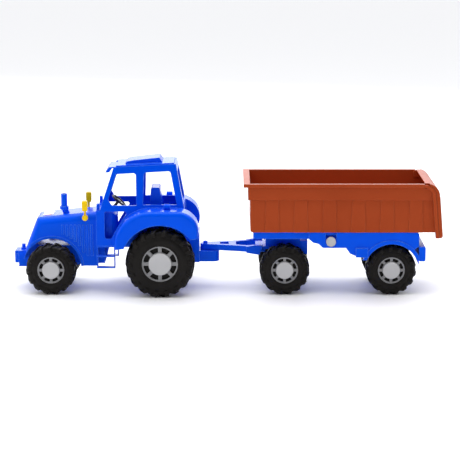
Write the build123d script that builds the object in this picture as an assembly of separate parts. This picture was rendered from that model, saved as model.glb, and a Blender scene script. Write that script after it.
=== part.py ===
from build123d import *
import os
from math import atan2, cos, degrees, pi, radians, sin, sqrt, tan

# A moulded toy tractor coupled to a two-axle tipping trailer. Millimetres, +Z up, the tractor
# faces -X, and its left side is -Y. The origin is under the middle of the whole train.

# ---- lengths along the train, from the face of the front weights to the tailgate ----
front_overhang = 53.0
tractor_wheelbase = 148.0
hitch_reach = 60.0
drawbar_reach = 107.5
trailer_wheelbase = 144.0
rear_overhang = 67.5

# ---- wheels ----
small_radius = 34.0
small_width = 27.0
small_track = 106.0     # over the outer faces of the small wheels
small_rim = 18.2
small_cap = 11.5
large_radius = 46.5
large_width = 31.0
large_track = 140.0
large_rim = 24.2
large_cap = 15.0
axle_r = 2.5
hub_r = 6.0

# ---- fits ----
run_fit = 0.08          # radial clearance of a pin or shaft that turns
gap = 0.4               # between faces that move past each other
wall = 2.5              # moulded wall

# ---- tractor ----
hood_half = 28.0
hood_base = 35.0
hood_front_top = 101.0
hood_rear_top = 109.0
hood_nose = 33.0        # from the top front corner to the front weights
hood_rake = 16.0        # how far the foot of the nose stands forward of its top
hood_length = 114.0     # from the front weights to the cab
shoulder_r = 10.0
arch_gap = 5.0          # between a front tyre and its mudguard
mudguard = 3.5
cab_half = 37.0
cab_roof_half = 29.0
cab_floor = 64.5
cab_sill = 113.0
cab_length = 119.5
cab_height = 60.0       # from the sill to the roof
cab_front_rake = 19.7
cab_rear_rake = 11.0
roof_fall = 4.3         # the roof is this much lower at the front
fender_half = 69.0
fender_gap = 6.0        # between a rear tyre and its fender
fender_top = 117.0
hatch_height = 7.0
hatch_half = 17.0
visor_half = 23.0
stack_r = 4.2
stack_top = 131.5
steering_r = 12.0
steering_tilt = 40.0
column_r = 2.0
mirror_peg_r = 2.5
mirror_height = 24.0
step_height = 30.0
step_length = 25.0
step_bar = 1.8
weight_depth = 5.5
tow_pin_r = 2.6
tow_pin_length = 7.0
frame_half = 14.0
frame_top = 62.0
tongue_half = 15.0
tongue_height = 14.5
tongue_top = 52.5
hitch_pin_r = 3.0

# ---- trailer ----
drawbar_height = 8.0
arm_width = 6.0
bolster_half = 20.0
kingpin_r = 4.0
deck_half = 52.0
skirt_half = 54.0
chassis_bottom = 77.5   # underside of the front plate, on the bolster
deck_top = 86.7
shaft_r = 2.5
shaft_cap_r = 6.5
tip_pin_r = 2.5
floor_bottom = 87.0
body_half = 54.7
plank = 0.8             # how far each raised plank stands out
plank_pitch = 19.25
band_half = 57.5
band_bottom = 131.5
rim_half = 60.5
rim_bottom = 149.0
rim_top = 153.5
tip_range = 35.0
gate_pin_r = 1.9
gate_corner_r = 14.5
gate_foot = 80.0

# ---- places along the train ----
overall = front_overhang + tractor_wheelbase + hitch_reach + drawbar_reach
overall += trailer_wheelbase + rear_overhang
nose_x = -overall / 2
front_x = nose_x + front_overhang
rear_x = front_x + tractor_wheelbase
hitch_x = rear_x + hitch_reach
king_x = hitch_x + drawbar_reach
trailer_x = king_x + trailer_wheelbase
end_x = trailer_x + rear_overhang
cab_x = nose_x + hood_length
cab_end = cab_x + cab_length

front_hub = (front_x, small_radius)
rear_hub = (rear_x, large_radius)
bogie_hub = (king_x, small_radius)
trailer_hub = (trailer_x, small_radius)


def block(x0, x1, y0, y1, z0, z1):
    return Pos((x0 + x1) / 2, (y0 + y1) / 2, (z0 + z1) / 2) * Box(x1 - x0, y1 - y0, z1 - z0)


def across(sketch, y0, y1):
    """An outline drawn in X and Z, as thick as the stretch from y0 to y1."""
    return extrude(Plane.XZ.offset(-y1) * sketch, amount=y1 - y0, dir=(0, -1, 0))


def outline(*points):
    return make_face(Polyline(*points, close=True))


def rounded(sketch, radius, corners):
    """The outline with the named corners rounded, each named by a point near it."""
    near = [sketch.vertices().sort_by_distance((x, z, 0))[0] for x, z in corners]
    return fillet(near, radius)


def rod(x, z, radius, y0, y1):
    return Pos(x, (y0 + y1) / 2, z) * Rot(90, 0, 0) * Cylinder(radius, y1 - y0)


def post(x, y, radius, z0, z1):
    return Pos(x, y, (z0 + z1) / 2) * Cylinder(radius, z1 - z0)


def both(shape):
    return shape + mirror(shape, about=Plane.XZ)


def save(name, shape):
    solids = shape.solids()
    export_step(solids[0] if len(solids) == 1 else Compound(children=list(solids)), f"parts/{name}.step")


# ================= wheels =================

def tread_profile(radius, width):
    """Half section of a tyre in Y and Z, from its bore to the crown."""
    h = width / 2
    corners = ((hub_r, -h), (radius - 6, -h), (radius, -h + 6), (radius, h - 6), (radius - 6, h), (hub_r, h))
    section = make_face(Polyline(*((y, z) for z, y in corners), close=True))
    soft = [v for v in section.vertices() if v.Y > hub_r + 1]
    return Plane.YZ * fillet(soft, 2.4)


def tyre(radius, width, rim_r):
    """A tyre about the Y axis, its outer face towards -Y, up to the tips of its lugs."""
    seat = rod(0, 0, rim_r, -width / 2 - 1, -width / 2 + 5.5)
    return revolve(tread_profile(radius, width), Axis.Y) - seat


def rim(width, rim_r, cap_r):
    """A spoked disc with its hub, which runs through the tyre to the frame side."""
    face = -width / 2 + 2.5
    disc = rod(0, 0, rim_r, face, face + 3)
    lip = rod(0, 0, rim_r, face - 1, face) - rod(0, 0, rim_r - 1.6, face - 2, face + 1)
    hub = rod(0, 0, hub_r, face, width / 2)
    windows = Circle(rim_r - 1.8) - Circle(cap_r + 0.6)
    spokes = [Rot(0, 0, 45 * k) * Rectangle(2 * rim_r, spoke_width(rim_r)) for k in range(4)]
    windows = windows - spokes
    windows = fillet(windows.vertices(), 0.9)
    return disc + lip + hub - across(windows, face - 1, face + 3.2) - rod(0, 0, axle_r, face - 2, width)


def spoke_width(rim_r):
    return rim_r * 0.19


def hub_cap(width, cap_r):
    face = -width / 2 + 2.5
    cap = rod(0, 0, cap_r, face - 3, face)
    return fillet(cap.edges().group_by(Axis.Y)[0], 0.9)


def save_wheels(name, hub, radius, width, track, rim_r, cap_r):
    """Both wheels of one axle, and the axle that joins them and turns with them."""
    x, z = hub
    pieces = {"tyre": tyre(radius, width, rim_r), "rim": rim(width, rim_r, cap_r), "cap": hub_cap(width, cap_r)}
    centre = (track - width) / 2
    for kind, piece in pieces.items():
        placed = Pos(x, -centre, z) * piece
        save(f"{name}_{kind}_left", placed)
        save(f"{name}_{kind}_right", mirror(placed, about=Plane.XZ))
    end = track / 2 - 2.5
    save(f"{name}_axle", rod(x, z, axle_r, -end, end))


# ================= tractor =================

def hood_outline(inset):
    """Side view of the hood, drawn in by inset."""
    top_slope = (hood_rear_top - hood_front_top) / (hood_length - hood_nose)
    x0, x1 = nose_x + hood_nose, cab_x
    foot = x0 - hood_rake
    return outline(
        (foot + inset, hood_base), (foot + inset, front_hub[1] + 26), (x0 + inset, hood_front_top - inset),
        (x1 + inset, hood_rear_top + top_slope * inset - inset), (x1 + inset, hood_base))


def hood_solid(inset):
    half = hood_half - inset
    shape = across(rounded(hood_outline(inset), 6, [(nose_x + hood_nose, hood_front_top)]), -half, half)
    top = shape.faces().sort_by(Axis.Z)[-1]
    sides = [e for e in shape.edges() if abs(abs(e.center().Y) - half) < 0.01 and e.center().Z > hood_base + 20
             and e.center().X < cab_x - 1 and e.center().Z > top.center().Z - 60]
    return fillet(sides, shoulder_r - inset)


def front_arch(radius, y0, y1):
    return rod(*front_hub, radius, y0, y1)


def make_hood():
    inner = block(nose_x - 50, cab_x, -hood_half, hood_half, hood_base - 5, 200)
    opened = hood_solid(wall) & inner
    shell = hood_solid(0) & block(nose_x - 50, cab_x, -40, 40, hood_base, 200)
    shell = shell - opened - Pos(0, 0, -wall) * opened
    arch_r = small_radius + arch_gap
    lip_in, lip_out = hood_half - 8, hood_half + 1.6
    shell = shell - both(front_arch(arch_r, -hood_half - 5, -lip_in + 8 - wall - 1))
    lip = front_arch(arch_r + mudguard, -lip_out, -lip_in) - front_arch(arch_r, -lip_out - 1, -lip_in + 1)
    lip = lip & block(nose_x + 24, cab_x - 12, -40, 0, hood_base, 200)
    shell = shell + both(lip)
    for k in range(8):
        x = cab_x - 7 - 5.6 * k
        low = max(hood_base + 14, front_hub[1] + sqrt(max((arch_r + 8) ** 2 - (x - front_x) ** 2, 0)))
        rib = Pos(x, -hood_half, (low + 92) / 2) * Box(3.2, 1.6, 92 - low)
        shell = shell + both(rib)
    shell = shell - block(nose_x, front_x, -frame_half, frame_half, 0, frame_top)
    peg = rod(*mirror_at(), mirror_peg_r + run_fit, -hood_half - 5, -hood_half + 5)
    return shell - both(peg) - stack_tail(stack_r)


def mirror_at():
    return cab_x - 15.3, hood_rear_top - 6.8


def stack_tail(radius):
    """The short slanted tube between the upright stack and the hood."""
    x, z = stack_at()
    return Pos(x + 2.4, stack_y(), z - 6) * Rot(0, -22, 0) * Cylinder(radius, 17)


def stack_at():
    return cab_x - 45.3, 112.0


def stack_y():
    return -9.0


def make_stack():
    x, z = stack_at()
    pipe = post(x, stack_y(), stack_r, z - 2, stack_top)
    mouth = post(x, stack_y(), stack_r - 1.3, stack_top - 12, stack_top + 1)
    clamp = post(x, stack_y(), stack_r + 1.9, z - 1.6, z + 2.4)
    return pipe + clamp + stack_tail(stack_r) - mouth


def make_label():
    slope = degrees(atan2(hood_rear_top - hood_front_top, hood_length - hood_nose))
    x = nose_x + hood_nose + 14
    z = hood_front_top + 14 * tan(radians(slope))
    return Pos(x, 0, z) * Rot(0, -slope, 0) * Pos(0, 0, 0.3) * Box(14, 26, 0.6)


def make_tractor_chassis():
    x, z = front_hub
    frame = across(outline(
        (nose_x + weight_depth, 31), (nose_x + 15, 31), (x, 31), (cab_x + 10, 37), (cab_x + 16, 60),
        (cab_x + 16, cab_floor), (cab_x, cab_floor), (cab_x, frame_top), (nose_x + 20, frame_top), (nose_x + 18, 53),
        (nose_x + weight_depth, 53)), -frame_half, frame_half)
    engine = block(x - 20, cab_x + 10, -20, 20, 37, frame_top)
    bearing = rod(x, z, 6, -24, 24)
    bed = block(cab_x + 12, cab_end - 2, -30, 30, cab_floor - 3, cab_floor)
    gearbox = block(rear_x - 24, cab_end - 2, -33, 33, 38, cab_floor)
    tail = rounded(outline(
        (cab_end - 4, 38), (hitch_x - 8, 38), (hitch_x - 8, 79.5), (cab_end + gap, 79.5),
        (cab_end + gap, cab_floor), (cab_end - 4, cab_floor)), 2, [(hitch_x - 8, 79.5)])
    tail = across(tail, -20, 20)
    hook = across(outline((hitch_x - 12, 79.5), (hitch_x - 8.6, 79.5), (hitch_x - 8.6, 82), (hitch_x - 12, 84.5)), -3, 3)
    tongue = block(hitch_x - 10, hitch_x + 19, -tongue_half, tongue_half, tongue_top - tongue_height, tongue_top)
    tongue = fillet(tongue.edges().filter_by(Axis.Z).group_by(Axis.X)[-1], 9)
    chassis = frame + engine + bearing + bed + gearbox + tail + hook + tongue
    chassis = chassis - rod(x, z, axle_r + run_fit, -40, 40)
    chassis = chassis - rod(*rear_hub, axle_r + run_fit, -40, 40)
    chassis = chassis - post(hitch_x, 0, hitch_pin_r, tongue_top - 11, tongue_top + 1)
    return chassis - post(tow_pin_x(), 0, tow_pin_r, 47, 54)


def tow_pin_x():
    return nose_x + weight_depth + 5.5


def make_weights():
    slab = block(nose_x, nose_x + weight_depth, -3.4, 3.4, 35.5, 52.5)
    slab = fillet(slab.edges().filter_by(Axis.Y), 1.2)
    keeper = block(nose_x + 2, nose_x + weight_depth, -12, 12, 40, 48)
    return keeper + [Pos(0, 7.6 * k, 0) * slab for k in (-1, 0, 1)]


def make_tow_pin():
    top = 53 + tow_pin_length
    return post(tow_pin_x(), 0, tow_pin_r, 47, top) + post(tow_pin_x(), 0, tow_pin_r + 1.2, 53, 54.5)


def cab_prism(inset):
    """The glazed part of the cab, leaning in on all four sides, above the sill."""
    rise = 70.0
    run = rise / cab_height
    front = cab_x + 5 + inset
    low = (front, cab_end - inset, cab_half - inset)
    lean = cab_half - cab_roof_half
    high = (front + cab_front_rake * run, cab_end - inset - cab_rear_rake * run, cab_half - inset - lean * run)
    rings = []
    for (x0, x1, half), z in ((low, cab_sill), (high, cab_sill + rise)):
        ring = Rectangle(x1 - x0, 2 * half)
        rings.append(Plane.XY.offset(z) * (Pos((x0 + x1) / 2, 0) * ring))
    return loft(rings)


def roof_line(drop):
    """Everything above the roof plane, lowered by drop."""
    x0, x1 = cab_x + 20, cab_end - 11
    slope = roof_fall / (x1 - x0)
    z = cab_sill + cab_height + 2.5 - drop
    ends = ((x0 - 60, z - roof_fall - 60 * slope), (x1 + 60, z + 60 * slope))
    return across(outline(*ends, (ends[1][0], 260), (ends[0][0], 260)), -60, 60)


def fender_outline():
    """Side view of a rear fender, closed along its lower edge."""
    front, back = (rear_x - 61.5, cab_floor + 1), (rear_x + 50.5, cab_floor + 16.5)
    crest0, crest1 = (rear_x - 13, fender_top), (rear_x + 24, fender_top)
    lead = TangentArc(crest0, front, tangent=(-1, 0))
    trail = TangentArc(crest1, back, tangent=(1, 0))
    return make_face(Wire([lead, Line(crest0, crest1), trail, Line(back, front)]))


def make_fender():
    side = fender_outline()
    shape = across(side, -fender_half, -cab_half + 0.5)
    rim_edges = [e for e in shape.edges() if abs(e.center().Y + fender_half) < 0.01 and e.center().Z > 76]
    shape = fillet(rim_edges, 6)
    hollow = across(offset(side, -wall), -fender_half + wall, -cab_half)
    opening = rod(*rear_hub, large_radius + fender_gap, -fender_half - 1, -cab_half)
    return shape - hollow - opening


def cab_windows():
    """Door, side and quarter windows as one set of cutters through both sides."""
    sill = cab_sill + 7
    quarter = rounded(outline(
        (cab_x + 27.5, sill + 42), (cab_x + 54, sill + 43.5), (cab_x + 54.5, sill), (cab_x + 21, sill),
        (cab_x + 16.5, sill + 8)), 3.5, [(cab_x + 27.5, sill + 42), (cab_x + 54, sill + 43.5), (cab_x + 21, sill)])
    side = rounded(outline(
        (cab_x + 65, sill + 44), (cab_x + 100.5, sill + 46), (cab_x + 109, sill + 1), (cab_x + 63.6, sill + 1)),
        3.5, [(cab_x + 65, sill + 44), (cab_x + 100.5, sill + 46)])
    door = make_face(Wire([
        Line((cab_x + 11.5, cab_floor + 10), (cab_x + 11.5, cab_sill - 1)),
        Line((cab_x + 11.5, cab_sill - 1), (cab_x + 43.5, cab_sill - 1)),
        ThreePointArc((cab_x + 43.5, cab_sill - 1), (cab_x + 29, cab_floor + 26), (cab_x + 20.5, cab_floor + 10)),
        Line((cab_x + 20.5, cab_floor + 10), (cab_x + 11.5, cab_floor + 10))]))
    door = fillet(door.vertices(), 2.5)
    return [across(sketch, -60, 60) for sketch in (quarter, side, door)]


def make_cab():
    lower = block(cab_x, cab_end, -cab_half, cab_half, cab_floor, cab_sill)
    lower = lower - block(cab_x + wall, cab_end - wall, -cab_half + wall, cab_half - wall, cab_floor + wall, cab_sill + 1)
    upper = cab_prism(0) - cab_prism(wall) - roof_line(0)
    ledge = block(cab_x, cab_x + 5 + wall, -cab_half, cab_half, cab_sill - wall, cab_sill)
    shell = lower + upper + ledge + both(make_fender())
    for cutter in cab_windows():
        shell = shell - cutter
    glass_half = cab_roof_half - 5
    windshield = block(cab_x, cab_x + 24, -glass_half, glass_half, cab_sill + 9, cab_sill + 50)
    rear_light = block(cab_end - 20, cab_end + 1, -glass_half, glass_half, cab_sill + 9, cab_sill + 52)
    shell = shell - windshield - rear_light
    lamp = block(cab_x + 0.4, cab_x + 4.6, -31.5, -25, cab_sill, cab_sill + 8.5)
    seat = cab_sill + cab_height - 4.5
    notch = block(cab_x + 10, cab_x + 30, -visor_half - gap / 4, visor_half + gap / 4, seat, seat + 20)
    return shell + both(lamp) - notch


def make_roof():
    panel = cab_prism(wall + gap / 4) & (roof_line(1.0) - roof_line(-1.5))
    x0, x1 = cab_x + 12, cab_x + 32
    z = cab_sill + cab_height - 2.5
    visor = across(rounded(outline(
        (x0, z - 8), (x0 + 6, z - 7), (x0 + 9.5, z - 1.8), (x1, z - 1.2), (x1, z + 0.8), (x0 + 5, z - 0.4)),
        1.2, [(x0 + 5, z - 0.4)]), -visor_half, visor_half)
    top = z + 2
    hatch = across(rounded(outline(
        (cab_x + 38.5, top), (cab_x + 41, top + 4.6), (cab_x + 50, top + 6.3), (cab_x + 85.5, top + hatch_height + 3.1),
        (cab_x + 90, top + 3)), 2, [(cab_x + 41, top + 4.6), (cab_x + 85.5, top + hatch_height + 3.1)]),
        -hatch_half, hatch_half)
    return panel + visor + hatch


def make_fender_lamps():
    x, y, z = rear_x + 9.5, -cab_half - 9.5, fender_top + 3
    lens = Pos(x, y, z) * Rot(0, 90, 0) * Cylinder(4.3, 8.5)
    foot = block(x - 3, x + 3, y - 2.5, y + 2.5, fender_top, z)
    lamp = (lens + foot) - block(x - 10, x + 10, y - 10, y + 10, fender_top - 10, fender_top)
    return both(lamp)


def make_step():
    """A ladder under the cab's side: a thin frame with one rung and a foot bar."""
    top, y = cab_floor, -cab_half
    x0, x1 = cab_x + 0.5, cab_x + 0.5 + step_length
    frame = block(x0, x1, y, y + 2.4, top - step_height, top)
    rung = top - 13.5
    for z0, z1 in ((top - step_height + step_bar, rung - 0.8), (rung + 0.8, top - step_bar)):
        frame = frame - block(x0 + step_bar, x1 - step_bar, y - 1, y + 4, z0, z1)
    for z in (rung, top - step_height + step_bar / 2):
        frame = frame + block(x0, x1, y - 5, y + 1, z - 0.8, z + 0.8)
    return frame


def make_dashboard():
    x = cab_x + wall
    console = block(x, x + 24, -21, 21, cab_floor + wall, 107)
    edges = [e for e in console.edges() if e.center().X > x + 23 and e.center().Z > 80]
    console = fillet(edges, 7)
    return console - steering_shaft(column_r + run_fit, 34)


def steering_place():
    return Pos(cab_x + 29, 0, cab_sill + 7.3) * Rot(0, steering_tilt, 0)


def steering_shaft(radius, length):
    return steering_place() * Pos(0, 0, -length / 2) * Cylinder(radius, length)


def make_steering():
    hoop = Torus(steering_r - 1.3, 1.3)
    spokes = [Rot(0, 0, 120 * k) * Pos(steering_r / 2, 0, -1) * Box(steering_r - 1.5, 2.2, 1.6) for k in range(3)]
    hub = Pos(0, 0, -1) * Cylinder(3.4, 3.4)
    return steering_place() * (hoop + spokes + hub) + steering_shaft(column_r, 32)


def make_seat():
    x = rear_x - 16
    side = rounded(outline(
        (x - 24, cab_floor + wall), (x + 16, cab_floor + wall), (x + 18, cab_sill - 2), (x + 14.5, cab_sill + 28),
        (x + 2.5, cab_sill + 28), (x, cab_sill - 10), (x - 26, cab_sill - 14), (x - 26, cab_sill - 22)),
        3, [(x + 14.5, cab_sill + 28), (x + 2.5, cab_sill + 28), (x - 26, cab_sill - 14)])
    return across(side, -16, 16)


def make_mirror():
    """A mirror on a stalk, with the peg it turns on in the hood's side."""
    x, z = mirror_at()
    y = -hood_half
    peg = rod(x, z, mirror_peg_r, y, y + wall)
    knob = rod(x, z, 4, y - 4.4, y - 1.2)
    neck = rod(x, z, mirror_peg_r, y - 1.3, y)
    stalk = post(x, y - 2.8, 1.5, z + 2, z + 11)
    head = block(x - 3.6, x + 3.6, y - 9, y - 1.2, z + 10, z + mirror_height)
    head = fillet(head.edges().filter_by(Axis.Y), 1.6)
    glass = block(x + 3.0, x + 4, y - 8, y - 2.2, z + 12, z + mirror_height - 2)
    return peg + knob + neck + stalk + head - glass


def make_hitch_pin():
    pin = post(hitch_x, 0, hitch_pin_r, tongue_top - 11, tongue_top + drawbar_height + 3.5)
    return chamfer(pin.edges().group_by(Axis.Z)[-1], 1)


# ================= trailer =================

def make_drawbar():
    """The drawbar, its two spreading arms and the bogie frame under the turntable, as one moulding."""
    low = tongue_top + gap
    top = low + drawbar_height
    x0, x1, x2, x3 = hitch_x, hitch_x + 44, hitch_x + 66, hitch_x + 82
    shape = make_face(Polyline((x0, -7), (x1, -17), (x2, -25), (x3, -25), (x3, 25), (x2, 25), (x1, 17), (x0, 7), close=True))
    eye = Pos(x0, 0) * Circle(7)
    first = outline((x0 + 20, -11.5 + arm_width), (x0 + 32, -14 + arm_width), (x0 + 32, 14 - arm_width), (x0 + 20, 11.5 - arm_width))
    nose = x1 + 25
    second = outline((x0 + 42, -10.5), (x1 + 14, -16), (nose, -17), (nose, 17), (x1 + 14, 16), (x0 + 42, 10.5))
    plan = shape + eye - first - second
    bar = extrude(Plane.XY.offset(low) * plan, amount=top - low)
    drop = outline((x1 + 12, low - 0.5), (x1 + 26, low - 3), (x3 - 8, low - 3), (x3 - 3, top + 1.5),
                   (x2, top + 1.5), (x1 + 12, top))
    webs = both(across(drop, -25, -25 + arm_width))
    trim = across(outline((x3 - 8.5, low - 5), (x3 - 3, top + 3), (x3 + 6, top + 3), (x3 + 6, low - 5)), -26, -bolster_half)
    x, z = bogie_hub
    bed = extrude(Plane.XY.offset(top - 4) * (Pos(x - 12, 0) * Circle(27.5) & Pos(x, 0) * Rectangle(90, 44)), amount=4)
    bolster = block(x - 25, x + 22, -bolster_half, bolster_half, top - 4, chassis_bottom - gap)
    carrier = across(outline((x - 13, top - 2), (x - 8, z - 6), (x + 8, z - 6), (x + 13, top - 2)), -23.5, 23.5)
    back = block(x + 20.5, x + 32, -bolster_half, bolster_half, 49.5, 68)
    frame = bar + webs - both(trim) + bed + bolster + carrier + back
    frame = frame - post(hitch_x, 0, hitch_pin_r + run_fit, 0, 100)
    frame = frame - rod(x, z, axle_r + run_fit, -40, 40)
    return frame - post(x, 0, kingpin_r, top - 6, 90)


def make_kingpin():
    low = tongue_top + gap + drawbar_height - 6
    return post(king_x, 0, kingpin_r, low, deck_top - 1.5)


def side_plate():
    """One skirt of the trailer chassis, with its arch, its step box and the open slot for the shaft's cap."""
    x, z = trailer_hub
    front = king_x + 32.5
    profile = outline(
        (front, deck_top), (front, chassis_bottom), (front + 5.5, 72.7), (front + 13, 71), (front + 18.5, 65.5),
        (front + 49.5, 65.5), (front + 55.5, 57.5), (front + 64, 54), (x - 20, 54), (x + 20, 54), (x + 34.5, 66.5),
        (x + 36.5, 67), (x + 36.5, deck_top))
    plate = across(profile, -skirt_half, -skirt_half + 3)
    step = block(front + 63, front + 79, -skirt_half - 3, -skirt_half + 4, 53, 65.5)
    arch = small_radius + 2.8
    lip = rod(x, z, arch + 5.2, -skirt_half - 1.5, -skirt_half + 2) + rod(x, z, arch + wall, -skirt_half, -25)
    lip = lip & (block(x - 60, x + 30, -60, -20, z + 15, 90) + block(x + 28, x + 36.5, -60, -20, z + 10, 90))
    shape = plate + step + lip - rod(x, z, arch, -60, -24)
    slot_x, slot_z = shaft_at()
    r = shaft_cap_r + 0.8
    bowl = ThreePointArc((slot_x - r, slot_z), (slot_x, slot_z - r), (slot_x + r, slot_z))
    sides = Polyline((slot_x + r, slot_z), (slot_x + r, 100), (slot_x - r, 100), (slot_x - r, slot_z))
    return shape - across(make_face(Wire([bowl, *sides.edges()])), -60, -skirt_half + 4)


def shaft_at():
    return king_x + 61.9, 74.4


def tip_at():
    return end_x - 37.0, 74.0


def make_trailer_chassis():
    x, z = trailer_hub
    tail = x + 36.5
    deck = block(king_x - 42.5, tail, -deck_half, deck_half, deck_top - 4, deck_top)
    apron = block(king_x - 42.5, king_x + 34, -deck_half, deck_half, chassis_bottom, deck_top - 1)
    apron = apron - block(king_x - 40, king_x + 40, -deck_half + wall, deck_half - wall, chassis_bottom - 1, deck_top - 4)
    boss = post(king_x, 0, 22, chassis_bottom, deck_top - 3)
    carrier = block(x - 12, x + 12, -23.5, 23.5, z - 6, deck_top - 3)
    back = block(tail - wall, tail, -skirt_half, skirt_half, 67, deck_top - 3)
    slot_x, slot_z = shaft_at()
    rib = block(slot_x - 8, slot_x + 8, -42, -38, 67, deck_top - 3)
    pin_x, pin_z = tip_at()
    cheek = block(pin_x - 8, tail - 1, -34, -29, pin_z - 7, deck_top - 3)
    chassis = deck + apron + boss + carrier + back + both(side_plate() + rib + cheek)
    corner = block(tail - 4, tail + 1, -60, 60, deck_top - 4, deck_top + 1)
    chassis = chassis - (corner - rod(tail - 4, deck_top - 4, 4, -61, 61))
    lug_slot = block(pin_x - 9, tail + 1, -27, -19, pin_z - 8, 100)
    chassis = chassis - both(lug_slot) - rod(x, z, axle_r + run_fit, -40, 40)
    saddle_slot = block(slot_x - 7, slot_x + 7, -34, -26, deck_top - 5, 100)
    chassis = chassis - both(saddle_slot) - rod(slot_x, slot_z, shaft_r, -50, 50)
    chassis = chassis - rod(pin_x, pin_z, tip_pin_r, -40, 40)
    return chassis - post(king_x, 0, kingpin_r + run_fit, 0, deck_top - 1.2)


def make_bumper():
    x = trailer_x + 36.5
    beam = block(x, x + 9, -skirt_half, skirt_half, 47, 67)
    return fillet(beam.edges().filter_by(Axis.Y), 2)


def rear_profile(inset):
    """The rear edge of the body's side, pulled in by inset: a quarter round, then a slanted run."""
    cx, cz = end_x - 25, rim_top - 16
    r = gate_corner_r - inset
    return cx, cz, r


def body_side(inset):
    """Side view of the body from its front rim to its rear edge."""
    cx, cz, r = rear_profile(inset)
    x0, foot = trailer_x - 199.5, end_x - 5 - inset
    arc = ThreePointArc((cx, cz + r), (cx + r * sin(pi / 4), cz + r * cos(pi / 4)), (cx + r, cz))
    rest = Polyline((cx + r, cz), (foot, gate_foot), (x0, gate_foot), (x0, rim_top), (cx - 1, rim_top),
                    (cx - 1, cz + r), (cx, cz + r))
    return make_face(Wire([arc, *rest.edges()]))


def plank_x(k):
    return trailer_x - 171 + plank_pitch * k


def make_planks():
    """Every second plank stands out of each side wall, a little narrower at its top."""
    planks = []
    for k in range(0, 12, 2):
        x0, x1 = plank_x(k), plank_x(k + 1)
        side = outline((x0, floor_bottom), (x1, floor_bottom), (x1 - 1.2, band_bottom), (x0 + 1.2, band_bottom))
        planks.append(across(side, -body_half - plank, -body_half + 1))
    return planks


def make_body():
    x0 = trailer_x - 199.5
    low = block(x0 + 9, end_x, -body_half, body_half, floor_bottom, band_bottom)
    low = fillet([e for e in low.edges().filter_by(Axis.Y) if e.center().X < x0 + 10 and e.center().Z < 100], 4)
    band = block(x0 + 6, end_x, -band_half, band_half, band_bottom, rim_bottom)
    lip = block(x0, end_x, -rim_half, rim_half, rim_bottom, rim_top)
    planks = make_planks()
    solid = low + band + lip + planks + [mirror(p, about=Plane.XZ) for p in planks]
    solid = solid & across(body_side(0), -70, 70)
    solid = solid - block(x0 + 11.5, end_x + 1, -body_half + wall, body_half - wall, floor_bottom + 3, 200)
    solid = solid - block(x0 + 8.5, end_x + 1, -band_half + wall, band_half - wall, band_bottom + 2, 200)
    strip = body_side(0) - body_side(4.5)
    edge = across(strip, -rim_half, -body_half + wall) & block(end_x - 24, end_x, -70, 0, gate_foot, band_bottom)
    edge = edge + (across(strip, -rim_half, -band_half + wall) & block(end_x - 24, end_x, -70, 0, band_bottom, 160))
    solid = solid + both(edge)
    pin_x, pin_z = tip_at()
    lug = across(outline((pin_x - 7, floor_bottom + 1), (pin_x - 4.5, pin_z), (pin_x + 4.5, pin_z), (pin_x + 5, floor_bottom + 1)), -26, -20)
    lug = lug + rod(pin_x, pin_z, 4.5, -26, -20)
    slot_x, slot_z = shaft_at()
    saddle = block(slot_x - 5, slot_x + 5, -32, -28, slot_z - 1, floor_bottom + 1)
    saddle = saddle - block(slot_x - shaft_r - 0.5, slot_x + shaft_r + 0.5, -40, -20, slot_z - 2, slot_z + shaft_r + 0.5)
    solid = solid + both(lug + saddle) - rod(pin_x, pin_z, tip_pin_r + run_fit, -30, 30)
    return solid - rod(*gate_pin_at(), gate_pin_r + run_fit, -70, 70)


def gate_pin_at():
    return end_x - 25, rim_top - 6


def make_gate():
    """The tailgate, curved over at the top, with an ear and a pin at each upper corner."""
    cx, cz, r = rear_profile(-gap)
    inner = ThreePointArc((cx, cz + r), (cx + r * sin(pi / 4), cz + r * cos(pi / 4)), (cx + r, cz))
    ox, outer_r = cx + 3, gate_corner_r + 2
    outer = ThreePointArc((ox, cz + outer_r), (ox + outer_r * sin(pi / 4), cz + outer_r * cos(pi / 4)), (ox + outer_r, cz))
    foot_in, foot_out = (end_x - 5 + gap, gate_foot), (end_x - plank, gate_foot + 1)
    side = make_face(Wire([
        inner, Line((cx + r, cz), foot_in), Line(foot_in, foot_out), Line(foot_out, (ox + outer_r, cz)), outer,
        Line((ox, cz + outer_r), (cx, cz + outer_r)), Line((cx, cz + outer_r), (cx, cz + r))]))
    plate = across(side, -rim_half + 0.5, rim_half - 0.5)
    over_walls = both(block(cx - 1, cx + 6, -rim_half, -band_half + wall + gap, cz, rim_top + 5))
    plate = plate - over_walls
    for k in range(-3, 4):
        board = outline((ox + outer_r - 1, cz - 1.5), (ox + outer_r + plank, cz - 1.5), (end_x, 82), (end_x - 3, 82))
        plate = plate + across(board, 17.2 * k - 6.8, 17.2 * k + 6.8)
    x, z = gate_pin_at()
    inside = band_half - wall - gap
    ear = across(rounded(outline((x - 4, z - 4), (x + 10, z - 4), (x + 13, z + 3), (x, cz + r + 1), (x - 4, z + 4)), 2,
                         [(x - 4, z - 4), (x - 4, z + 4)]), -inside, -inside + 2.4)
    pin = rod(x, z, gate_pin_r, -band_half - 0.5, -inside + 1)
    return plate + both(ear + pin)


# ================= the pieces =================

os.makedirs("parts", exist_ok=True)

save_wheels("front", front_hub, small_radius, small_width, small_track, small_rim, small_cap)
save_wheels("rear", rear_hub, large_radius, large_width, large_track, large_rim, large_cap)
save_wheels("bogie", bogie_hub, small_radius, small_width, small_track, small_rim, small_cap)
save_wheels("trailer", trailer_hub, small_radius, small_width, small_track, small_rim, small_cap)

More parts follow.
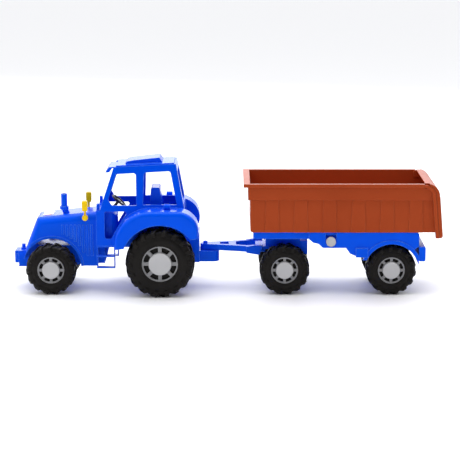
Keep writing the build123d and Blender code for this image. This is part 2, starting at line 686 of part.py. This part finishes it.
save("tractor_chassis", make_tractor_chassis())
save("hood", make_hood())
save("cab_frame", make_cab())
save("cab_roof", make_roof())
save("dashboard", make_dashboard())
save("seat", make_seat())
save("exhaust_stack", make_stack())
save("hood_label", make_label())
save("front_weights", make_weights())
save("front_tow_pin", make_tow_pin())
save("fender_lamps", make_fender_lamps())
save("hitch_pin", make_hitch_pin())
save("steering_wheel", make_steering())
save("step_left", make_step())
save("step_right", mirror(make_step(), about=Plane.XZ))
save("mirror_left", make_mirror())
save("mirror_right", mirror(make_mirror(), about=Plane.XZ))

save("drawbar_frame", make_drawbar())
save("kingpin", make_kingpin())
save("trailer_chassis", make_trailer_chassis())
save("trailer_bumper", make_bumper())
slot_x, slot_z = shaft_at()
save("cross_shaft", rod(slot_x, slot_z, shaft_r, -skirt_half - 1, skirt_half + 1))
cap = rod(slot_x, slot_z, shaft_cap_r, -skirt_half - 3, -skirt_half + 1.5) - rod(slot_x, slot_z, shaft_r, -skirt_half - 1, 0)
save("shaft_caps", both(fillet(cap.edges().group_by(Axis.Y)[0], 0.8)))
pin_x, pin_z = tip_at()
save("tip_pin", rod(pin_x, pin_z, tip_pin_r, -36, 36))
save("dump_body", make_body())
save("tailgate", make_gate())
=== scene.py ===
import math

import bmesh
import bpy
from mathutils import Matrix, Vector


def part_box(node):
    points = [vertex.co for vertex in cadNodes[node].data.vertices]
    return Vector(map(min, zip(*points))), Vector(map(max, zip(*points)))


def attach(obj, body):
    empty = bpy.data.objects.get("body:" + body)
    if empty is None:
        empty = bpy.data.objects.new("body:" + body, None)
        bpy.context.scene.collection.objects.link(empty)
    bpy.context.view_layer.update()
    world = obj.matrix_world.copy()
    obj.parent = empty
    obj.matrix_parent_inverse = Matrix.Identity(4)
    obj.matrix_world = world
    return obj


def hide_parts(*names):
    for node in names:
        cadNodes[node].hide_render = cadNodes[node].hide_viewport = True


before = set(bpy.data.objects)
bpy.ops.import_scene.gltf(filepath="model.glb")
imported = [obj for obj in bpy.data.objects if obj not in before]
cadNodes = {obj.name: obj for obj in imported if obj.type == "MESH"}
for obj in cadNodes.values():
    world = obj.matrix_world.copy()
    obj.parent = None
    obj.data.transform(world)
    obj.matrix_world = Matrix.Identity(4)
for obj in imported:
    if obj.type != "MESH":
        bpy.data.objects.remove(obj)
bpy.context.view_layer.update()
print("frame loaded,", len(cadNodes), "nodes")

mm = 0.001


cameraSettings = {
    "place": (0.0048, -2.2185, 0.5464),
    "downTilt": 11.9,      # degrees below level
    "lens": 129.13,
    "film": 36.0,
    "farthest": 20.0,
}

roomSettings = {
    "floorColor": (0.96, 0.96, 0.97, 1),
    "floorRoughness": 0.55,
    "floorReach": {"side": 6, "front": -4, "back": 9},
    "glowColor": (0.98, 0.985, 1, 1),
    "backGlow": 1.22,
    "frontGlow": 0.16,
    "glowFade": (-0.75, 0.0),
    "lights": [
        {"name": "topSoftbox", "place": (0, 0.1, 1.5), "target": (0, 0, 0), "power": 20.0,
         "size": (2.2, 1.6), "color": (1, 1, 1)},
        {"name": "keySoftbox", "place": (-1.1, -1.6, 1.3), "target": (0, 0, 0.05), "power": 5.5,
         "size": (1.2, 1.0), "color": (1, 0.99, 0.97)},
        {"name": "rearSoftbox", "place": (0.5, 1.9, 0.9), "target": (0, 0, 0.1), "power": 12.0,
         "size": (2.8, 1.0), "color": (0.95, 0.97, 1)},
    ],
}


def aimAt(thing, target):
    thing.rotation_euler = (Vector(target) - thing.location).to_track_quat("-Z", "Y").to_euler()


def makeCamera(settings):
    data = bpy.data.cameras.new("camera")
    data.lens = settings["lens"]
    data.sensor_width = settings["film"]
    data.clip_end = settings["farthest"]
    camera = bpy.data.objects.new("camera", data)
    camera.location = settings["place"]
    camera.rotation_euler = (math.radians(90 - settings["downTilt"]), 0, 0)
    bpy.context.scene.collection.objects.link(camera)
    bpy.context.scene.camera = camera


def softLight(name, place, target, power, size, color):
    data = bpy.data.lights.new(name, "AREA")
    data.shape = "RECTANGLE"
    data.size, data.size_y = size
    data.energy = power
    data.color = color
    light = bpy.data.objects.new(name, data)
    light.location = place
    bpy.context.scene.collection.objects.link(light)
    aimAt(light, target)


def plainMaterial(name, color, roughness):
    material = bpy.data.materials.new(name)
    material.use_nodes = True
    shader = material.node_tree.nodes["Principled BSDF"]
    shader.inputs["Base Color"].default_value = color
    shader.inputs["Roughness"].default_value = roughness
    return material


def stageSheet(name, corners, material):
    mesh = bpy.data.meshes.new(name)
    bm = bmesh.new()
    bm.faces.new([bm.verts.new(c) for c in corners])
    bm.to_mesh(mesh)
    bm.free()
    sheet = bpy.data.objects.new(name, mesh)
    sheet.data.materials.append(material)
    bpy.context.scene.collection.objects.link(sheet)


def makeRoom(settings):
    scene = bpy.context.scene
    scene.view_settings.view_transform = "Standard"
    scene.view_settings.look = "None"
    world = bpy.data.worlds.new("whiteRoom")
    world.use_nodes = True
    tree = world.node_tree
    direction = tree.nodes.new("ShaderNodeTexCoord")
    split = tree.nodes.new("ShaderNodeSeparateXYZ")
    tree.links.new(direction.outputs["Generated"], split.inputs[0])
    fade = tree.nodes.new("ShaderNodeMapRange")     # the room is darker on the camera's side
    fadeStart, fadeEnd = settings["glowFade"]
    fade.inputs["From Min"].default_value = fadeStart
    fade.inputs["From Max"].default_value = fadeEnd
    fade.inputs["To Min"].default_value = settings["frontGlow"]
    fade.inputs["To Max"].default_value = settings["backGlow"]
    tree.links.new(split.outputs["Y"], fade.inputs["Value"])
    background = tree.nodes["Background"]
    background.inputs["Color"].default_value = settings["glowColor"]
    tree.links.new(fade.outputs["Result"], background.inputs["Strength"])
    scene.world = world
    floorFinish = plainMaterial("paleFloor", settings["floorColor"], settings["floorRoughness"])
    reach = settings["floorReach"]
    corners = [(-reach["side"], reach["front"], 0), (reach["side"], reach["front"], 0),
               (reach["side"], reach["back"], 0), (-reach["side"], reach["back"], 0)]
    stageSheet("floor", corners, floorFinish)
    for light in settings["lights"]:
        softLight(**light)


makeCamera(cameraSettings)
makeRoom(roomSettings)
print("camera and room done")


def newGroup(name, inputs, outputs):
    group = bpy.data.node_groups.new(name, "ShaderNodeTree")
    for label, kind, start in inputs:
        socket = group.interface.new_socket(label, in_out="INPUT", socket_type=kind)
        socket.default_value = start
    for label, kind in outputs:
        group.interface.new_socket(label, in_out="OUTPUT", socket_type=kind)
    source = group.nodes.new("NodeGroupInput")
    sink = group.nodes.new("NodeGroupOutput")
    return group, source, sink


def addNode(tree, kind, **settings):
    node = tree.nodes.new(kind)
    for key, value in settings.items():
        setattr(node, key, value)
    return node


def addMath(tree, operation, first, second=None, clamp=False):
    node = addNode(tree, "ShaderNodeMath", operation=operation, use_clamp=clamp)
    for socket, value in zip(node.inputs, (first, second)):
        if value is None:
            continue
        if isinstance(value, (int, float)):
            socket.default_value = value
        else:
            tree.links.new(value, socket)
    return node.outputs[0]


def addRange(tree, value, low, high, toLow=0.0, toHigh=1.0):
    node = addNode(tree, "ShaderNodeMapRange", interpolation_type="SMOOTHSTEP")
    tree.links.new(value, node.inputs["Value"])
    for label, number in (("From Min", low), ("From Max", high), ("To Min", toLow), ("To Max", toHigh)):
        node.inputs[label].default_value = number
    return node.outputs["Result"]


def addMix(tree, amount, first, second):
    node = addNode(tree, "ShaderNodeMix", data_type="RGBA")
    for socket, value in ((node.inputs[0], amount), (node.inputs[6], first), (node.inputs[7], second)):
        if isinstance(value, (int, float, tuple)):
            socket.default_value = value
        else:
            tree.links.new(value, socket)
    return node.outputs[2]


def addNoise(tree, vector, scale, detail=3.0, rough=0.5):
    node = addNode(tree, "ShaderNodeTexNoise")
    node.inputs["Detail"].default_value = detail
    node.inputs["Roughness"].default_value = rough
    tree.links.new(vector, node.inputs["Vector"])
    if isinstance(scale, (int, float)):
        node.inputs["Scale"].default_value = scale
    else:
        tree.links.new(scale, node.inputs["Scale"])
    return node.outputs["Fac"]


edgeSettings = {
    "flat": 0.995, "sharp": 0.86,
    "patchScale": 70.0, "patchFade": (0.35, 0.65), "patchLeast": 0.45,
}


def buildEdgeLight(settings):
    # lighter plastic along edges: partly scuffing where a moulded wall is thin, partly a painted edge
    # highlight
    group, source, sink = newGroup(
        "edgeWearAndHighlight",
        [("Base", "NodeSocketColor", (1, 1, 1, 1)), ("Worn", "NodeSocketColor", (1, 1, 1, 1)),
         ("Amount", "NodeSocketFloat", 0.5), ("Width", "NodeSocketFloat", 0.0008)],
        [("Color", "NodeSocketColor"), ("Mask", "NodeSocketFloat")])
    bevel = addNode(group, "ShaderNodeBevel", samples=4)
    group.links.new(source.outputs["Width"], bevel.inputs["Radius"])
    geometry = addNode(group, "ShaderNodeNewGeometry")
    turn = addNode(group, "ShaderNodeVectorMath", operation="DOT_PRODUCT")
    group.links.new(bevel.outputs[0], turn.inputs[0])
    group.links.new(geometry.outputs["Normal"], turn.inputs[1])
    edge = addRange(group, turn.outputs["Value"], settings["flat"], settings["sharp"])
    place = addNode(group, "ShaderNodeTexCoord")
    blotch = addNoise(group, place.outputs["Object"], settings["patchScale"])
    patch = addRange(group, blotch, *settings["patchFade"], settings["patchLeast"], 1.0)
    rubbedAndLit = addMath(group, "MULTIPLY", edge, patch)
    mask = addMath(group, "MULTIPLY", rubbedAndLit, source.outputs["Amount"], True)
    color = addMix(group, mask, source.outputs["Base"], source.outputs["Worn"])
    group.links.new(color, sink.inputs["Color"])
    group.links.new(mask, sink.inputs["Mask"])
    return group


mottleSettings = {
    "driftFade": (0.3, 0.7), "driftDetail": 4.0,
    "fineScale": 260.0, "fineDetail": 2.0,
}


def buildMottle(settings):
    # slow drift of colour and gloss left by the melt as it filled the mould
    group, source, sink = newGroup(
        "meltMottle",
        [("Base", "NodeSocketColor", (1, 1, 1, 1)), ("Tint", "NodeSocketColor", (1, 1, 1, 1)),
         ("Amount", "NodeSocketFloat", 0.3), ("Scale", "NodeSocketFloat", 18.0),
         ("Rough", "NodeSocketFloat", 0.3), ("Spread", "NodeSocketFloat", 0.08)],
        [("Color", "NodeSocketColor"), ("Roughness", "NodeSocketFloat")])
    place = addNode(group, "ShaderNodeTexCoord")
    drift = addNoise(group, place.outputs["Object"], source.outputs["Scale"], settings["driftDetail"])
    clouds = addRange(group, drift, *settings["driftFade"])
    share = addMath(group, "MULTIPLY", clouds, source.outputs["Amount"], True)
    color = addMix(group, share, source.outputs["Base"], source.outputs["Tint"])
    group.links.new(color, sink.inputs["Color"])
    fine = addNoise(group, place.outputs["Object"], settings["fineScale"], settings["fineDetail"])
    swing = addMath(group, "SUBTRACT", addMath(group, "ADD", drift, fine), 1.0)
    change = addMath(group, "MULTIPLY", swing, source.outputs["Spread"])
    rough = addMath(group, "ADD", source.outputs["Rough"], change, True)
    group.links.new(rough, sink.inputs["Roughness"])
    return group


grainSettings = {"fineDetail": 3.0, "fineRough": 0.6, "waveScale": 34.0, "waveDetail": 2.0}


def buildGrain(settings):
    # fine skin of a spark-eroded mould, as a height
    group, source, sink = newGroup(
        "mouldGrain",
        [("Scale", "NodeSocketFloat", 900.0), ("Depth", "NodeSocketFloat", 0.3),
         ("Wave", "NodeSocketFloat", 0.4)],
        [("Height", "NodeSocketFloat")])
    place = addNode(group, "ShaderNodeTexCoord")
    fine = addNoise(group, place.outputs["Object"], source.outputs["Scale"],
                    settings["fineDetail"], settings["fineRough"])
    slow = addNoise(group, place.outputs["Object"], settings["waveScale"], settings["waveDetail"])
    skin = addMath(group, "MULTIPLY", fine, source.outputs["Depth"])
    swell = addMath(group, "MULTIPLY", slow, source.outputs["Wave"])
    height = addMath(group, "ADD", skin, swell)
    group.links.new(height, sink.inputs["Height"])
    return group


dustSettings = {
    "facesUp": (0.6, 1.0),
    "speckScale": 420.0, "speckDetail": 4.0, "speckFade": (0.45, 0.75),
}


def buildDust(settings):
    # a trace of dust on what faces up
    group, source, sink = newGroup(
        "restingDust",
        [("Base", "NodeSocketColor", (1, 1, 1, 1)), ("Dust", "NodeSocketColor", (0.8, 0.8, 0.85, 1)),
         ("Amount", "NodeSocketFloat", 0.1)],
        [("Color", "NodeSocketColor")])
    geometry = addNode(group, "ShaderNodeNewGeometry")
    split = addNode(group, "ShaderNodeSeparateXYZ")
    group.links.new(geometry.outputs["Normal"], split.inputs[0])
    up = addRange(group, split.outputs["Z"], *settings["facesUp"])
    place = addNode(group, "ShaderNodeTexCoord")
    grit = addNoise(group, place.outputs["Object"], settings["speckScale"], settings["speckDetail"])
    speck = addRange(group, grit, *settings["speckFade"])
    settled = addMath(group, "MULTIPLY", up, speck)
    mask = addMath(group, "MULTIPLY", settled, source.outputs["Amount"], True)
    color = addMix(group, mask, source.outputs["Base"], source.outputs["Dust"])
    group.links.new(color, sink.inputs["Color"])
    return group


streakSettings = {"squeeze": 0.04, "detail": 3.0, "rough": 0.7, "depth": 0.8}


def buildWoodGrain(settings):
    # upright streaks moulded into the planks of the trailer body
    group, source, sink = newGroup(
        "plankGrain",
        [("Fine", "NodeSocketFloat", 900.0)],
        [("Height", "NodeSocketFloat")])
    place = addNode(group, "ShaderNodeTexCoord")
    mapping = addNode(group, "ShaderNodeMapping")
    mapping.inputs["Scale"].default_value = (1, 1, settings["squeeze"])
    group.links.new(place.outputs["Object"], mapping.inputs["Vector"])
    streak = addNoise(group, mapping.outputs["Vector"], source.outputs["Fine"],
                      settings["detail"], settings["rough"])
    height = addMath(group, "MULTIPLY", streak, settings["depth"])
    group.links.new(height, sink.inputs["Height"])
    return group


edgeWearAndHighlight = buildEdgeLight(edgeSettings)
meltMottle = buildMottle(mottleSettings)
mouldGrain = buildGrain(grainSettings)
restingDust = buildDust(dustSettings)
plankGrain = buildWoodGrain(streakSettings)
print("shader groups done")


# each finish's lighter edge colour is partly scuffing and partly a painted edge highlight
finishes = {
    "blue_plastic": {
        "base": (0.0, 0.085, 0.86, 1), "tint": (0.0, 0.055, 0.62, 1), "wornAndHighlight": (0.16, 0.42, 1.0, 1),
        "wearAndHighlight": 0.75, "width": 0.0011, "rough": 0.22, "spread": 0.10, "mottle": 0.22, "scale": 16.0,
        "grain": 1100.0, "depth": 0.10, "wave": 0.7, "bump": 0.00012, "dust": 0.05, "sheen": 0.4,
        "glossTint": (0.12, 0.35, 1, 1), "bumpShare": 0.6, "round": 0.0009,
    },
    "brown_plastic": {
        "base": (0.39, 0.058, 0.016, 1), "tint": (0.31, 0.042, 0.011, 1),
        "wornAndHighlight": (0.62, 0.16, 0.07, 1), "wearAndHighlight": 0.5, "width": 0.0008, "rough": 0.36, "spread": 0.12,
        "mottle": 0.35, "scale": 12.0, "grain": 900.0, "depth": 0.25, "wave": 0.6, "bump": 0.00016,
        "dust": 0.06, "sheen": 0.28, "glossTint": (1, 0.4, 0.2, 1), "bumpShare": 0.6, "round": 0.0007,
        "planks": 520.0,
    },
    "rim_grey": {
        "base": (0.26, 0.26, 0.27, 1), "tint": (0.2, 0.2, 0.21, 1), "wornAndHighlight": (0.6, 0.6, 0.62, 1),
        "wearAndHighlight": 0.8, "width": 0.0006, "rough": 0.33, "spread": 0.1, "mottle": 0.3, "scale": 30.0,
        "grain": 1500.0, "depth": 0.2, "wave": 0.2, "bump": 0.0001, "dust": 0.03, "sheen": 0.5,
        "glossTint": (1, 1, 1, 1), "bumpShare": 0.6, "round": 0.0004,
    },
    "cap_grey": {
        "base": (0.53, 0.53, 0.54, 1), "tint": (0.47, 0.47, 0.48, 1), "wornAndHighlight": (0.72, 0.72, 0.73, 1),
        "wearAndHighlight": 0.4, "width": 0.0005, "rough": 0.62, "spread": 0.08, "mottle": 0.3, "scale": 40.0,
        "grain": 1300.0, "depth": 0.8, "wave": 0.0, "bump": 0.0002, "dust": 0.02, "sheen": 0.3,
        "glossTint": (1, 1, 1, 1), "bumpShare": 0.6, "round": 0.0005,
    },
    "yellow_plastic": {
        "base": (0.96, 0.63, 0.0, 1), "tint": (0.9, 0.55, 0.0, 1), "wornAndHighlight": (1.0, 0.8, 0.2, 1),
        "wearAndHighlight": 0.4, "width": 0.0006, "rough": 0.3, "spread": 0.08, "mottle": 0.3, "scale": 30.0,
        "grain": 1200.0, "depth": 0.2, "wave": 0.3, "bump": 0.00012, "dust": 0.03, "sheen": 0.4,
        "glossTint": (1, 0.9, 0.3, 1), "bumpShare": 0.6, "round": 0.0006,
    },
    "black_plastic": {
        "base": (0.012, 0.012, 0.013, 1), "tint": (0.02, 0.02, 0.022, 1),
        "wornAndHighlight": (0.09, 0.09, 0.1, 1), "wearAndHighlight": 0.5, "width": 0.0005, "rough": 0.28, "spread": 0.1,
        "mottle": 0.4, "scale": 40.0, "grain": 1400.0, "depth": 0.3, "wave": 0.2, "bump": 0.00012,
        "dust": 0.05, "sheen": 0.5, "glossTint": (1, 1, 1, 1), "bumpShare": 0.6, "round": 0.0005,
    },
    "tyre_black": {
        "base": (0.0095, 0.0088, 0.0085, 1), "tint": (0.015, 0.0135, 0.0125, 1),
        "wornAndHighlight": (0.055, 0.05, 0.046, 1), "wearAndHighlight": 0.3, "width": 0.0007, "rough": 0.42,
        "spread": 0.16, "mottle": 0.6, "scale": 55.0, "grain": 1000.0, "depth": 0.5, "wave": 0.3,
        "bump": 0.0002, "dust": 0.12, "sheen": 0.1, "glossTint": (1, 0.97, 0.93, 1),
        "bumpShare": 0.6, "round": 0.0007,
    },
}


def placeGroup(tree, group, **values):
    node = addNode(tree, "ShaderNodeGroup", node_tree=group)
    for label, value in values.items():
        if isinstance(value, (int, float, tuple)):
            node.inputs[label].default_value = value
        else:
            tree.links.new(value, node.inputs[label])
    return node


def makeFinish(name, look):
    material = bpy.data.materials.new(name)
    material.use_nodes = True
    tree = material.node_tree
    shader = tree.nodes["Principled BSDF"]
    mottle = placeGroup(tree, meltMottle, Base=look["base"], Tint=look["tint"], Amount=look["mottle"],
                        Scale=look["scale"], Rough=look["rough"], Spread=look["spread"])
    # lighter edges: partly scuffing, partly painted highlight
    wornAndHighlight = placeGroup(tree, edgeWearAndHighlight, Base=mottle.outputs["Color"], Worn=look["wornAndHighlight"], Amount=look["wearAndHighlight"],
                      Width=look["width"])
    dusty = placeGroup(tree, restingDust, Base=wornAndHighlight.outputs["Color"], Amount=look["dust"])
    tree.links.new(dusty.outputs["Color"], shader.inputs["Base Color"])
    tree.links.new(mottle.outputs["Roughness"], shader.inputs["Roughness"])
    grain = placeGroup(tree, mouldGrain, Scale=look["grain"], Depth=look["depth"], Wave=look["wave"])
    height = grain.outputs["Height"]
    if "planks" in look:
        wood = placeGroup(tree, plankGrain, Fine=look["planks"])
        height = addMath(tree, "ADD", height, wood.outputs["Height"])
    bump = addNode(tree, "ShaderNodeBump")
    bump.inputs["Strength"].default_value = look["bumpShare"]
    bump.inputs["Distance"].default_value = look["bump"]
    tree.links.new(height, bump.inputs["Height"])
    soft = addNode(tree, "ShaderNodeBevel", samples=4)
    soft.inputs["Radius"].default_value = look["round"]
    tree.links.new(soft.outputs["Normal"], bump.inputs["Normal"])
    tree.links.new(bump.outputs["Normal"], shader.inputs["Normal"])
    shader.inputs["Specular IOR Level"].default_value = look["sheen"]
    shader.inputs["Specular Tint"].default_value = look["glossTint"]
    return material


labelSettings = {
    "paper": (0.9, 0.88, 0.9, 1),
    "orange": (0.93, 0.26, 0.06, 1),
    "barTurn": 7.0 / 0.0041,           # the sine's turn for each metre across
    "barEdge": 0.1,
    "barFront": (-0.2485, -0.2480),
    "barBack": (-0.2380, -0.2385),
    "bump": 0.00008,
    "rough": 0.3,
}


def makeLabelFilm(settings):
    # white film printed with plain orange bars
    material = bpy.data.materials.new("label_film")
    material.use_nodes = True
    tree = material.node_tree
    shader = tree.nodes["Principled BSDF"]
    place = addNode(tree, "ShaderNodeTexCoord")
    split = addNode(tree, "ShaderNodeSeparateXYZ")
    tree.links.new(place.outputs["Object"], split.inputs[0])
    wave = addMath(tree, "SINE", addMath(tree, "MULTIPLY", split.outputs["Y"], settings["barTurn"]))
    bars = addRange(tree, wave, -settings["barEdge"], settings["barEdge"])
    front = addRange(tree, split.outputs["X"], *settings["barFront"])
    back = addRange(tree, split.outputs["X"], *settings["barBack"])
    inside = addMath(tree, "MULTIPLY", addMath(tree, "MULTIPLY", front, back), bars)
    tree.links.new(addMix(tree, inside, settings["paper"], settings["orange"]), shader.inputs["Base Color"])
    grain = placeGroup(tree, mouldGrain, Scale=1500.0, Depth=0.2, Wave=0.3)
    bump = addNode(tree, "ShaderNodeBump")
    bump.inputs["Distance"].default_value = settings["bump"]
    tree.links.new(grain.outputs["Height"], bump.inputs["Height"])
    tree.links.new(bump.outputs["Normal"], shader.inputs["Normal"])
    shader.inputs["Roughness"].default_value = settings["rough"]
    return material


steelSettings = {
    "base": (0.5, 0.5, 0.51, 1), "tint": (0.34, 0.33, 0.32, 1), "mottle": 0.4, "scale": 60.0,
    "rough": 0.34, "spread": 0.12, "grain": 1800.0, "depth": 0.5, "bump": 0.0001,
}


def makeAxleSteel(look):
    # plain drawn steel rod
    material = bpy.data.materials.new("axle_steel")
    material.use_nodes = True
    tree = material.node_tree
    shader = tree.nodes["Principled BSDF"]
    mottle = placeGroup(tree, meltMottle, Base=look["base"], Tint=look["tint"], Amount=look["mottle"],
                        Scale=look["scale"], Rough=look["rough"], Spread=look["spread"])
    tree.links.new(mottle.outputs["Color"], shader.inputs["Base Color"])
    tree.links.new(mottle.outputs["Roughness"], shader.inputs["Roughness"])
    grain = placeGroup(tree, mouldGrain, Scale=look["grain"], Depth=look["depth"], Wave=0.0)
    bump = addNode(tree, "ShaderNodeBump")
    bump.inputs["Distance"].default_value = look["bump"]
    tree.links.new(grain.outputs["Height"], bump.inputs["Height"])
    tree.links.new(bump.outputs["Normal"], shader.inputs["Normal"])
    shader.inputs["Metallic"].default_value = 1.0
    return material


finishOf = {name: makeFinish(name, look) for name, look in finishes.items()}
finishOf["label_film"] = makeLabelFilm(labelSettings)
finishOf["axle_steel"] = makeAxleSteel(steelSettings)


def slotOf(node):
    if "tyre" in node:
        return "tyre_black"
    if "_rim_" in node:
        return "rim_grey"
    if "_cap_" in node or node == "shaft_caps":
        return "cap_grey"
    if node.endswith("axle") or node in ("cross_shaft", "tip_pin"):
        return "axle_steel"
    if node.startswith("mirror"):
        return "yellow_plastic"
    if node == "steering_wheel":
        return "black_plastic"
    if node == "hood_label":
        return "label_film"
    if node in ("dump_body", "tailgate"):
        return "brown_plastic"
    return "blue_plastic"


for name, node in cadNodes.items():
    node.data.materials.clear()
    node.data.materials.append(finishOf[slotOf(name)])
print("finishes on", len(cadNodes), "nodes")


def pieceFrom(bm, name, slot, body, sharp):
    mesh = bpy.data.meshes.new(name)
    bm.normal_update()
    bm.to_mesh(mesh)
    bm.free()
    mesh.shade_smooth()
    mesh.set_sharp_from_angle(angle=math.radians(sharp))
    mesh.materials.append(finishOf[slot])
    piece = bpy.data.objects.new(name, mesh)
    bpy.context.scene.collection.objects.link(piece)
    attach(piece, body)
    return piece


tyreSizes = {
    "small": {"radius": 34.0, "half": 13.5, "bead": 18.25, "lugs": 15, "lugHeight": 2.1, "lugWidth": 4.6,
              "sweep": 15.0, "shoulder": 5.2},
    "large": {"radius": 46.5, "half": 15.5, "bead": 24.25, "lugs": 18, "lugHeight": 2.8, "lugWidth": 5.6,
              "sweep": 13.0, "shoulder": 6.4},
}

tyreSection = {
    "bead": [(2.2, 0.0), (0.5, 0.0), (0.0, 0.6), (0.0, 1.7), (0.55, 2.1), (0.55, 2.9), (0.1, 3.4)],
    "wall": 0.05,
    "wallRise": 1.5,
    "bend": 0.5,
    "bendDrop": 0.4,
    "shoulderIn": 0.9,
    "shoulderShare": 1.25,
    "arcSteps": 6,
    "steps": 90,
}

webSettings = {"inset": 4.2, "thick": 1.6, "lap": 0.4, "bore": 6.4}

lugSettings = {
    "cuts": 5,
    "start": -1.2,           # a lug starts a little past the tyre's middle
    "endInset": 0.05,
    "topShare": 0.78,
    "rootShare": 0.8,
    "flare": 0.35,
    "bend": 1.15,
    "crownDrop": 0.62,
    "sink": 0.9,
    "wallSink": 1.6,         # the outer end reaches further down the side wall
    "wallFrom": 0.8,
}


def treadTop(size, across):
    # radius of a lug's outer face at this distance from the tyre's middle
    flat = size["half"] - size["shoulder"]
    over = max(0.0, abs(across) - flat) / size["shoulder"]
    drop = size["shoulder"] * lugSettings["crownDrop"]
    return size["radius"] - drop * (1 - math.sqrt(max(0.0, 1 - over * over)))


def carcassOutline(size, section):
    # from the rim's seat over the bead and the side wall to the middle of the tread
    half, bead, shoulder = size["half"], size["bead"], size["shoulder"]
    crown = size["radius"] - size["lugHeight"]
    side = crown - shoulder * section["shoulderShare"]
    start = half - section["shoulderIn"]
    points = [(half - inward, bead + rise) for inward, rise in section["bead"]]
    points.append((half - section["wall"], (bead + side) / 2 + section["wallRise"]))
    points.append((half - section["bend"], side - section["bendDrop"]))
    points.append((start, side))
    for k in range(1, section["arcSteps"] + 1):
        turn = k / section["arcSteps"] * math.pi / 2
        across = start - (shoulder - section["shoulderIn"]) * (1 - math.cos(turn))
        points.append((across, side + (crown - side) * math.sin(turn)))
    points.append((0.0, crown))
    return points


def spinRing(bm, outline):
    ring = [bm.verts.new((0, across * mm, radius * mm)) for across, radius in outline]
    edges = [bm.edges.new((a, b)) for a, b in zip(ring, ring[1:] + ring[:1])]
    bmesh.ops.spin(bm, geom=ring + edges, cent=(0, 0, 0), axis=(0, 1, 0), angle=math.tau,
                   steps=tyreSection["steps"], use_merge=True)


def addWeb(bm, size, seat, settings):
    # a disc that closes the wheel behind the rim's windows
    outer = seat - settings["inset"]
    inner = outer - settings["thick"]
    edge = size["bead"] + settings["lap"]
    spinRing(bm, [(outer, edge), (outer, settings["bore"]), (inner, settings["bore"]), (inner, edge)])


def lugPoint(size, settings, corner, start, side):
    # where a corner of the unit block goes, for a lug that starts at this turn
    along = corner.y + 0.5
    reach = size["half"] - settings["endInset"] - settings["start"]
    across = settings["start"] + reach * along
    top = corner.z > 0
    radius = treadTop(size, across)
    width = size["lugWidth"] * (settings["rootShare"] + settings["flare"] * along)
    if top:
        width *= settings["topShare"]
    else:
        radius -= size["lugHeight"] + settings["sink"]
    if not top and along > settings["wallFrom"]:
        radius -= settings["wallSink"]
    sweep = math.radians(size["sweep"]) * along ** settings["bend"]
    turn = start + sweep + corner.x * width / size["radius"]
    return Vector((radius * math.sin(turn) * mm, side * across * mm, -radius * math.cos(turn) * mm))


def addLug(bm, size, settings, start, side):
    for v in bm.verts:
        v.tag = True
    made = bmesh.ops.create_cube(bm, size=1.0)["verts"]
    long = [e for e in {e for v in made for e in v.link_edges}
            if abs(e.verts[0].co.y - e.verts[1].co.y) > 0.5]
    bmesh.ops.subdivide_edges(bm, edges=long, cuts=settings["cuts"])
    lugVerts = [v for v in bm.verts if not v.tag]
    for v in lugVerts:
        v.co = lugPoint(size, settings, v.co, start, side)
    if side < 0:
        bmesh.ops.reverse_faces(bm, faces=list({f for v in lugVerts for f in v.link_faces}))


def makeTyre(name, size, centre, outward, body):
    # outward is +1 or -1: which way along Y the tyre's outer face looks
    bm = bmesh.new()
    outline = carcassOutline(size, tyreSection)
    spinRing(bm, outline + [(-across, radius) for across, radius in reversed(outline[:-1])])
    addWeb(bm, size, outline[0][0], webSettings)
    bmesh.ops.recalc_face_normals(bm, faces=bm.faces)
    for side, shift in ((1, 0.0), (-1, 0.5)):
        for k in range(size["lugs"]):
            addLug(bm, size, lugSettings, math.tau * (k + shift) / size["lugs"], side)
    if outward < 0:
        bmesh.ops.scale(bm, vec=(1, -1, 1), verts=bm.verts)
        bmesh.ops.reverse_faces(bm, faces=bm.faces)
    bmesh.ops.translate(bm, vec=centre, verts=bm.verts)
    return pieceFrom(bm, name, "tyre_black", body, 40.0)


def tyreName(node):
    words = node.split("_")
    return words[0] + "Tread" + words[2].capitalize()


wheelsets = (("front", "small"), ("rear", "large"), ("bogie", "small"), ("trailer", "small"))

for place, size in wheelsets:
    for side, outward in (("left", -1), ("right", 1)):
        node = place + "_tyre_" + side
        low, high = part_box(node)
        piece = makeTyre(tyreName(node), tyreSizes[size], (low + high) / 2, outward, place + "_wheelset")
        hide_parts(node)
print("tyres done")


linerSettings = {"radius": 39.0, "thick": 1.6, "outer": 27.0, "steps": 40, "sweep": 150.0, "merge": 1e-6}


def makeArchLiner(settings):
    # the inside of both front mudguards: one bowed sheet from side to side, over the front wheels
    low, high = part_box("front_axle")
    centre = (low + high) / 2
    bm = bmesh.new()
    corners = [(-settings["outer"], settings["radius"]), (settings["outer"], settings["radius"]),
               (settings["outer"], settings["radius"] + settings["thick"]),
               (-settings["outer"], settings["radius"] + settings["thick"])]
    face = bm.faces.new([bm.verts.new((0, across * mm, height * mm)) for across, height in corners])
    half = math.radians(settings["sweep"] / 2)
    bmesh.ops.rotate(bm, verts=bm.verts, cent=(0, 0, 0), matrix=Matrix.Rotation(-half, 3, "Y"))
    bmesh.ops.spin(bm, geom=[face] + face.verts[:] + face.edges[:], cent=(0, 0, 0), axis=(0, 1, 0),
                   angle=2 * half, steps=settings["steps"])
    bmesh.ops.remove_doubles(bm, verts=bm.verts, dist=settings["merge"])
    bmesh.ops.recalc_face_normals(bm, faces=bm.faces)
    bmesh.ops.translate(bm, vec=Vector((centre.x, 0, centre.z)), verts=bm.verts)
    return pieceFrom(bm, "mudguardLiner", "blue_plastic", "tractor", 35.0)


makeArchLiner(linerSettings)
print("mudguard liner done")
